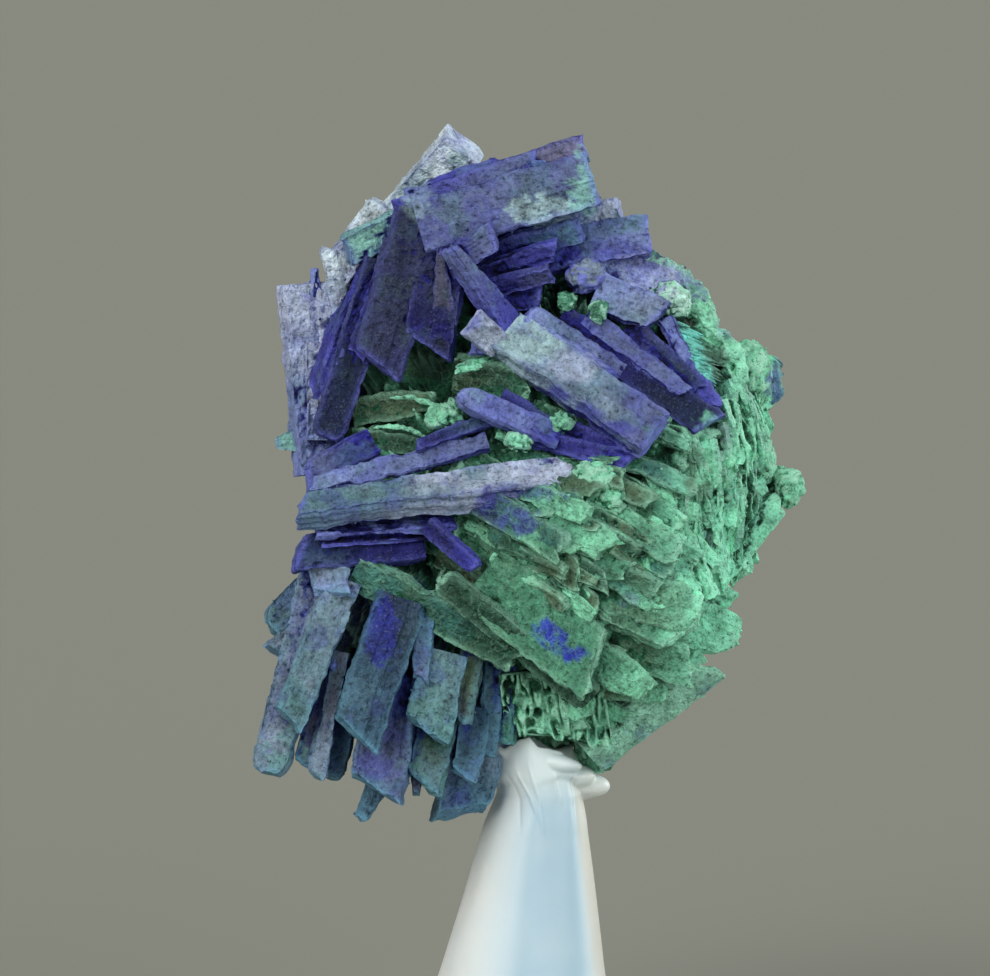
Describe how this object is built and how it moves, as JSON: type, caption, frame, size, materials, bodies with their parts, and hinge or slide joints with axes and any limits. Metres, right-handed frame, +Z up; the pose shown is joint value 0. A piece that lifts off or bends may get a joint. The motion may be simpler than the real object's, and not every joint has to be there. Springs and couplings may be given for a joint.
{
  "type": "azurite specimen",
  "caption": "Cluster of bladed blue azurite crystals grown together with leafy green malachite, held upright on a small cone of white mineral putty.",
  "frame": {"origin": "centre of the putty's flat foot, on the floor", "axes": "+Z up, +X to the right and -Y towards someone who looks at the specimen's front"},
  "size_m": [0.0275, 0.0241, 0.0505],
  "materials": {
    "azurite": "matt, dusty crystal faces, deep blue in the cracks, green where it has turned to malachite",
    "putty": "waxy, slightly translucent white"
  },
  "bodies": {
    "root": {"azurite_cluster": "azurite", "putty_stand": "putty"}
  },
  "joints": []
}
